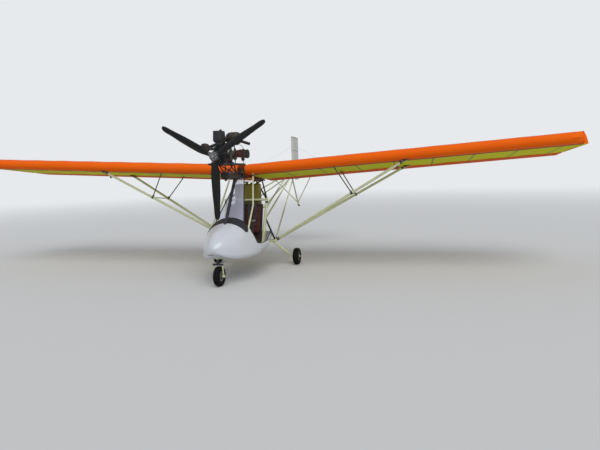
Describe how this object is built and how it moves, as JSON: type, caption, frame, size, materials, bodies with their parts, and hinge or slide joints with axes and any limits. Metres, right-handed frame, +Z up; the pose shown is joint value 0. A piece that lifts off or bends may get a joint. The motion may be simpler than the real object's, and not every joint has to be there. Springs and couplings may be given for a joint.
{
  "type": "two-seat ultralight aircraft",
  "caption": "High-wing strut-braced ultralight aircraft: open cabin pod under a tube boom, engine ahead of the wing, steered nose wheel, cloth-covered wing and tail.",
  "frame": {"origin": "on the ground under the middle of the aircraft's box", "axes": "+Z up, -Y towards the nose, +X to port"},
  "size_m": [10.16, 5.185, 2.445],
  "materials": {
    "frame_tube": "satin",
    "boom_tube": "satin",
    "black_tube": "satin",
    "fitting": "satin",
    "nose_cloth": "satin",
    "sail_cloth": "satin",
    "gelcoat": "gloss",
    "black_plastic": "matte",
    "clear_sheet": "gloss",
    "seat_cloth": "matte",
    "seat_sheet": "satin",
    "tank_plastic": "satin",
    "engine_alloy": "matte",
    "dark_steel": "matte",
    "carb_alloy": "matte",
    "blade": "satin",
    "tyre_rubber": "matte",
    "rim_alloy": "satin",
    "tail_cloth": "satin",
    "skid_rubber": "matte"
  },
  "bodies": {
    "airframe": {"boom": "boom_tube", "root_fittings": "fitting", "engine_mount": "black_tube", "front_post": "black_tube", "cockpit_frame": "frame_tube", "cabane_struts": "black_tube", "door_posts": "frame_tube", "screen_edges": "black_tube", "tail_stays": "frame_tube", "pod": "gelcoat", "coaming": "black_plastic", "instrument_panel": "black_plastic", "windscreen": "clear_sheet", "seat_shell": "seat_sheet", "seat_cushions": "seat_cloth", "fuel_tank": "tank_plastic", "cabin_controls": "black_tube", "engine_block": "engine_alloy", "engine_gearbox": "engine_alloy", "engine_airbox": "black_plastic", "engine_exhaust": "dark_steel", "engine_carburettors": "carb_alloy", "gear_braces": "black_tube", "fin": "tail_cloth", "stabiliser": "tail_cloth", "tail_post": "frame_tube", "tail_skid": "skid_rubber", "wing_nose_left": "nose_cloth", "wing_nose_right": "nose_cloth", "wing_sail_left": "sail_cloth", "wing_sail_right": "sail_cloth", "lift_struts_left": "frame_tube", "lift_struts_right": "frame_tube", "gear_leg_left": "frame_tube", "gear_leg_right": "frame_tube", "tie_down_lug_left": "fitting", "tie_down_lug_right": "fitting"},
    "propeller": {"propeller_hub": "rim_alloy", "propeller_blades": "blade"},
    "nose_fork": {"nose_fork": "frame_tube"},
    "nose_wheel": {"tyre_nose": "tyre_rubber", "rim_nose": "rim_alloy"},
    "main_wheel_left": {"tyre_left": "tyre_rubber", "rim_left": "rim_alloy"},
    "main_wheel_right": {"tyre_right": "tyre_rubber", "rim_right": "rim_alloy"},
    "rudder": {"rudder": "tail_cloth"},
    "elevator": {"elevator": "tail_cloth"},
    "aileron_left": {"aileron_left": "nose_cloth"},
    "aileron_right": {"aileron_right": "nose_cloth"}
  },
  "joints": [
    {"name": "propeller_spin", "type": "hinge", "parent": "airframe", "child": "propeller", "pos_m": [0, -2.3925, 1.87], "axis": [0, 1, 0], "continuous": true},
    {"name": "nose_steer", "type": "hinge", "parent": "airframe", "child": "nose_fork", "pos_m": [0, -2.4505, 0.322], "axis": [0, 0, 1], "range_deg": [-25, 25]},
    {"name": "nose_wheel_spin", "type": "hinge", "parent": "nose_fork", "child": "nose_wheel", "pos_m": [0, -2.4225, 0.145], "axis": [1, 0, 0], "continuous": true},
    {"name": "main_wheel_left_spin", "type": "hinge", "parent": "airframe", "child": "main_wheel_left", "pos_m": [0.747, -0.7655, 0.145], "axis": [1, 0, 0], "continuous": true},
    {"name": "main_wheel_right_spin", "type": "hinge", "parent": "airframe", "child": "main_wheel_right", "pos_m": [-0.747, -0.7655, 0.145], "axis": [1, 0, 0], "continuous": true},
    {"name": "rudder_swing", "type": "hinge", "parent": "airframe", "child": "rudder", "pos_m": [0, 2.2875, 1.59], "axis": [0, 0, 1], "range_deg": [-28, 28]},
    {"name": "elevator_tilt", "type": "hinge", "parent": "airframe", "child": "elevator", "pos_m": [0, 1.8925, 1.657], "axis": [1, 0, 0], "range_deg": [-20, 25]},
    {"name": "aileron_left_tilt", "type": "hinge", "parent": "airframe", "child": "aileron_left", "pos_m": [3.2, -0.22233, 1.73103], "axis": [0.9984, 0, 0.0558], "range_deg": [-20, 20]},
    {"name": "aileron_right_tilt", "type": "hinge", "parent": "airframe", "child": "aileron_right", "pos_m": [-3.2, -0.22233, 1.73103], "axis": [0.9984, 0, -0.0558], "range_deg": [-20, 20]}
  ],
  "couplings": [
    {"joint": "aileron_right_tilt", "follows": "aileron_left_tilt", "ratio": -1},
    {"joint": "rudder_swing", "follows": "nose_steer", "ratio": -1.12}
  ]
}
